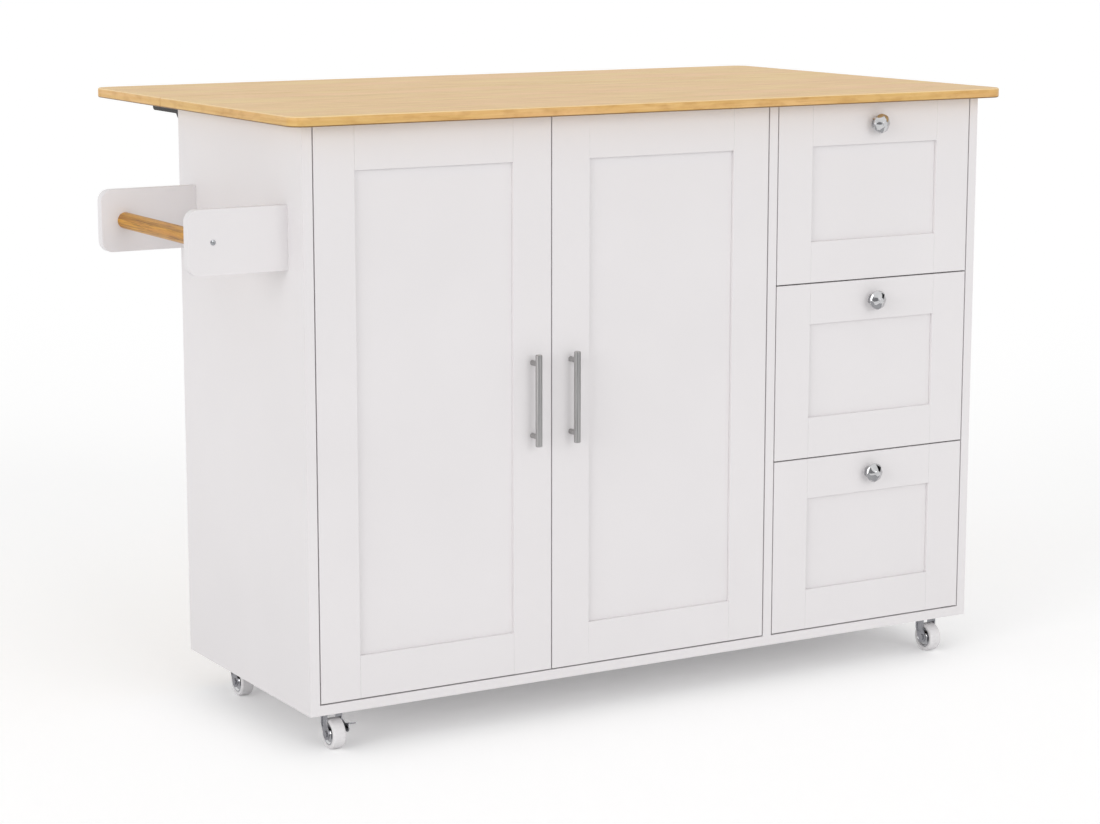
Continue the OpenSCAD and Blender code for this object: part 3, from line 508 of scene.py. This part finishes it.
# Half of the hub's section in mm, from the axle's hole over the boss and the dish to the rim
hub_side = [(3.1, 10.4), (6.6, 10.4), (7.2, 9.8), (7.8, 8.2), (9.2, 7.4), (12.4, 7.2), (13.6, 7.8),
            (14.4, 9.0), (15.2, 9.3), (16.2, 9.1), (16.5, 8.6)]
hub = [(r, -x) for r, x in hub_side] + [(r, x) for r, x in reversed(hub_side)]
for place in ("front_left", "front_right", "rear_left", "rear_right"):
    node = "caster_wheel_" + place
    low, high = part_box(node)
    centre = (low + high) / 2
    pressed_fork(place, centre)
    shoulder_at = (high.z - low.z) / 2 / MM - shoulder
    tyre = ([(bore, -half + lip_deep), (lip, -half)]
            + arc(shoulder_at, -half + shoulder, shoulder, -90, 0, 8)
            + arc(shoulder_at, half - shoulder, shoulder, 0, 90, 8)
            + [(lip, half), (bore, half - lip_deep)])
    show("tyre_" + place, turned("tyre_" + place, tyre, centre), tyre_white, node)
    show("hub_" + place, turned("hub_" + place, hub, centre), chrome, node)


# Screws: each CAD screw gets a domed head with a cross recess, turned as it happened to stop

def screw_seats(node):
    """Where each screw's head starts, and the way out of the surface."""
    # Only the head reaches further from the screw's middle line than this
    past_the_shank = 3.5 * MM
    seats = []
    for faces in solids_of(node):
        corners = [Vector(c) for face in faces for c in face]
        low = Vector([min(c[i] for c in corners) for i in range(3)])
        high = Vector([max(c[i] for c in corners) for i in range(3)])
        size = high - low
        axis = max(range(3), key=lambda i: size[i])
        middle = (low + high) / 2
        across = [i for i in range(3) if i != axis]
        rim = [c[axis] for c in corners if sum((c[i] - middle[i]) ** 2 for i in across) > past_the_shank ** 2]
        outward = 1 if sum(rim) / len(rim) > middle[axis] else -1
        seat = middle.copy()
        seat[axis] = min(rim) if outward > 0 else max(rim)
        seats.append((seat, Vector([outward if i == axis else 0 for i in range(3)])))
    return seats


def cross_head_screws():
    """A tree that puts a screw on each point, along the point's own direction."""
    tree = bpy.data.node_groups.new("cross_head_screws", "GeometryNodeTree")
    sockets = tree.interface
    sockets.new_socket("Seats", in_out="INPUT", socket_type="NodeSocketGeometry")
    usual_mm = {"Head radius": 4.0, "Head height": 1.6, "Shank radius": 2.0, "Length": 11.5,
                "Recess span": 4.6, "Recess width": 0.9, "Recess depth": 2.2}
    for name, size_mm in usual_mm.items():
        socket = sockets.new_socket(name, in_out="INPUT", socket_type="NodeSocketFloat")
        socket.default_value = size_mm * MM
    sockets.new_socket("Screws", in_out="OUTPUT", socket_type="NodeSocketGeometry")
    given = add(tree, "NodeGroupInput").node.outputs
    head = add(tree, "GeometryNodeMeshCylinder", {
        "Vertices": 28, "Radius": given["Head radius"], "Depth": given["Head height"]})
    # The dome is the top of a ball so wide that the head's rim keeps about 0.3 of the head's height
    ball_to_head = 1.9
    ball_radius = add(tree, "ShaderNodeMath", {0: given["Head radius"], 1: ball_to_head},
                      operation="MULTIPLY")
    ball = add(tree, "GeometryNodeMeshUVSphere", {"Segments": 40, "Rings": 28, "Radius": ball_radius})
    shank = add(tree, "GeometryNodeMeshCylinder", {
        "Vertices": 20, "Radius": given["Shank radius"], "Depth": given["Length"]})
    slots = []
    for x, y in (("Recess span", "Recess width"), ("Recess width", "Recess span")):
        size = add(tree, "ShaderNodeCombineXYZ", {"X": given[x], "Y": given[y], "Z": given["Recess depth"]})
        slots.append(add(tree, "GeometryNodeMeshCube", {"Size": size}))
    head_middle = add(tree, "ShaderNodeMath", {0: given["Head height"], 1: 0.5}, operation="MULTIPLY")
    ball_middle = add(tree, "ShaderNodeMath", {0: given["Head height"], 1: ball_radius}, operation="SUBTRACT")
    shank_middle = add(tree, "ShaderNodeMath", {0: given["Length"], 1: -0.5}, operation="MULTIPLY")
    placed = []
    for shape, height in ((head, head_middle), (ball, ball_middle), (shank, shank_middle),
                          (slots[0], given["Head height"]), (slots[1], given["Head height"])):
        shift = add(tree, "ShaderNodeCombineXYZ", {"Z": height})
        placed.append(add(tree, "GeometryNodeTransform", {"Geometry": shape, "Translation": shift}))
    head, ball, shank, *slots = placed
    dome = add(tree, "GeometryNodeMeshBoolean", {"Mesh 2": [head, ball]}, operation="INTERSECT")
    cut = add(tree, "GeometryNodeMeshBoolean", {"Mesh 1": dome, "Mesh 2": slots}, operation="DIFFERENCE")
    screw = add(tree, "GeometryNodeJoinGeometry", {"Geometry": [cut, shank]})
    outward = add(tree, "GeometryNodeInputNamedAttribute", {"Name": "outward"}, data_type="FLOAT_VECTOR")
    upright = add(tree, "FunctionNodeAlignRotationToVector", {"Vector": outward}, axis="Z")
    chance = add(tree, "FunctionNodeRandomValue", {2: 0.0, 3: pi / 2, "Seed": 7}, out=1, data_type="FLOAT")
    spin = add(tree, "FunctionNodeAxisAngleToRotation", {"Axis": (0, 0, 1), "Angle": chance})
    facing = add(tree, "FunctionNodeRotateRotation", {"Rotation": upright, "Rotate By": spin},
                 rotation_space="LOCAL")
    seated = add(tree, "GeometryNodeInstanceOnPoints", {
        "Points": given["Seats"], "Instance": screw, "Rotation": facing})
    real = add(tree, "GeometryNodeRealizeInstances", {"Geometry": seated})
    flat = add(tree, "GeometryNodeSetShadeSmooth", {"Geometry": real, "Shade Smooth": False})
    dressed = add(tree, "GeometryNodeSetMaterial", {"Geometry": flat, "Material": zinc})
    add(tree, "NodeGroupOutput", {"Screws": dressed})
    return tree


def grown(tree, seats, sizes):
    """The plain mesh that a tree makes on seats, each a point and its outward direction."""
    mesh = bpy.data.meshes.new("seats")
    mesh.from_pydata([point for point, _ in seats], [], [])
    outward = mesh.attributes.new("outward", "FLOAT_VECTOR", "POINT")
    outward.data.foreach_set("vector", [c for _, direction in seats for c in direction])
    worker = into_scene("worker", mesh)
    modifier = worker.modifiers.new("grown", "NODES")
    modifier.node_group = tree
    for item in tree.interface.items_tree:
        if item.in_out == "INPUT" and item.name in sizes:
            modifier[item.identifier] = sizes[item.name]
    return plain_mesh(worker)


screw_tree = cross_head_screws()
for node, length_mm in (("towel_rack_screws", 34), ("cabinet_screws", 11), ("leaf_screws", 11)):
    screws = grown(screw_tree, screw_seats(node), {"Length": length_mm * MM})
    show(node + "_cross_head", screws, zinc, node)


# The pieces whose CAD shape is right keep it and take their finish
for node, piece in nodes.items():
    if not piece.hide_render:
        for slot in piece.material_slots:
            slot.material = finish_of[slot_of[node]]


# Studio: a pale floor that runs out of sight, a broad lamp in front, another at the left, an even surround

def soft_sun(name, towards, power):
    """A lamp as broad as a big window, so far off that the floor is lit the same everywhere."""
    data = bpy.data.lights.new(name, "SUN")
    data.energy, data.angle = power, radians(34)
    into_scene(name, data).rotation_euler = Vector(towards).to_track_quat("Z", "Y").to_euler()


def studio_sheet(name, corners, finish):
    """A flat sheet of the studio, which isn't part of the island."""
    mesh = bpy.data.meshes.new(name)
    mesh.from_pydata(corners, [], [(0, 1, 2, 3)])
    mesh.materials.append(finish)
    sheet = into_scene(name, mesh)
    return sheet


def mirror_card(name, corners, shade):
    """A glowing card that only mirrored rays meet, so that plated metal has greys to show its form by."""
    finish, _, _ = new_finish(name, Emission_Color=linear(shade), Emission_Strength=1.0,
                              Base_Color=(0, 0, 0, 1), Specular_IOR_Level=0.0)
    finish.cycles.emission_sampling = "NONE"
    card = studio_sheet(name, corners, finish)
    card.visible_camera = card.visible_diffuse = card.visible_shadow = False


def lying(low, high, height):
    """The corners of a sheet that lies flat at a height, between two points of (X, Y)."""
    return [(low[0], low[1], height), (high[0], low[1], height),
            (high[0], high[1], height), (low[0], high[1], height)]


def upright(foot, width, height):
    """The corners of a card that stands at a foot point and faces the island."""
    foot = Vector(foot)
    across = Vector((-foot.y, foot.x, 0)).normalized() * width / 2
    head = foot + Vector((0, 0, height))
    return [foot - across, foot + across, head + across, head - across]


def looked_at(tree):
    """1 for a ray from the camera, a mirror or clear material, and 0 for a ray that only lights something."""
    rays = add(tree, "ShaderNodeLightPath").node.outputs
    mirrored = add(tree, "ShaderNodeMath", {0: rays["Is Glossy Ray"], 1: rays["Is Transmission Ray"]},
                   operation="MAXIMUM")
    return add(tree, "ShaderNodeMath", {0: rays["Is Camera Ray"], 1: mirrored}, operation="MAXIMUM")


soft_sun("key", (0.12, -0.94, 0.30), 0.55)
soft_sun("left_fill", (-0.92, -0.33, 0.20), 0.84)

world = bpy.data.worlds.new("surround")
bpy.context.scene.world = world
world.use_nodes = True
sky = world.node_tree
sky.nodes.clear()
# The surround lights the island less than it shows
strength = add(sky, "ShaderNodeMapRange", {"Value": looked_at(sky), "To Min": 0.76, "To Max": 1.0})
glow = add(sky, "ShaderNodeBackground", {"Color": (1, 1, 1, 1), "Strength": strength})
add(sky, "ShaderNodeOutputWorld", {"Surface": glow})

floor_finish, floor_tree, floor_shader = new_finish(
    "pale_studio_floor", Base_Color=linear("#FDFDFD"), Roughness=0.9, Specular_IOR_Level=0.0,
    Emission_Color=(1, 1, 1, 1))
# The lamps leave the floor a little grey, and this whitens it for the eye without lighting anything
lift = add(floor_tree, "ShaderNodeMath", {0: looked_at(floor_tree), 1: 0.15}, operation="MULTIPLY")
floor_tree.links.new(lift, floor_shader.inputs["Emission Strength"])
# Seen from below, the floor is clear, so that the casters and the underside show
below = add(floor_tree, "ShaderNodeNewGeometry", out="Backfacing")
clear = add(floor_tree, "ShaderNodeBsdfTransparent")
surface = add(floor_tree, "ShaderNodeMixShader", {0: below, 1: floor_shader.outputs["BSDF"], 2: clear})
floor_tree.links.new(surface, floor_tree.nodes["Material Output"].inputs["Surface"])
# The floor lies a hair under the wheels, and one card just above it
far, hair_under, just_above = 40, -0.0003, 0.001
studio_sheet("studio_floor", lying((-far, -far), (far, far), hair_under), floor_finish)
mirror_card("card_by_the_camera", upright((-1.1, -1.9, 0.01), 1.6, 1.5), "#8C8C8E")
mirror_card("card_at_the_front", upright((0.9, -2.2, 0.01), 1.2, 1.3), "#B8B8BA")
mirror_card("card_at_the_right", upright((2.3, -0.9, 0.01), 1.3, 1.9), "#1C1C1E")
mirror_card("card_on_the_floor", lying((-1.1, -0.9), (1.1, 0.8), just_above), "#BCBCBE")

# Camera, fitted to the photograph: from the left and above, looking down a little
looks_down, turned_right = 10.271, 30.280
camera_data = bpy.data.cameras.new("camera")
camera_data.sensor_width = 36
camera_data.lens = 91.17
camera_data.clip_end = 200
camera = into_scene("camera", camera_data)
camera.location = (-2.1598, -3.80835, 1.1944)
camera.rotation_euler = (radians(90 - looks_down), 0, radians(-turned_right))
bpy.context.scene.camera = camera
bpy.context.scene.view_settings.view_transform = "Standard"
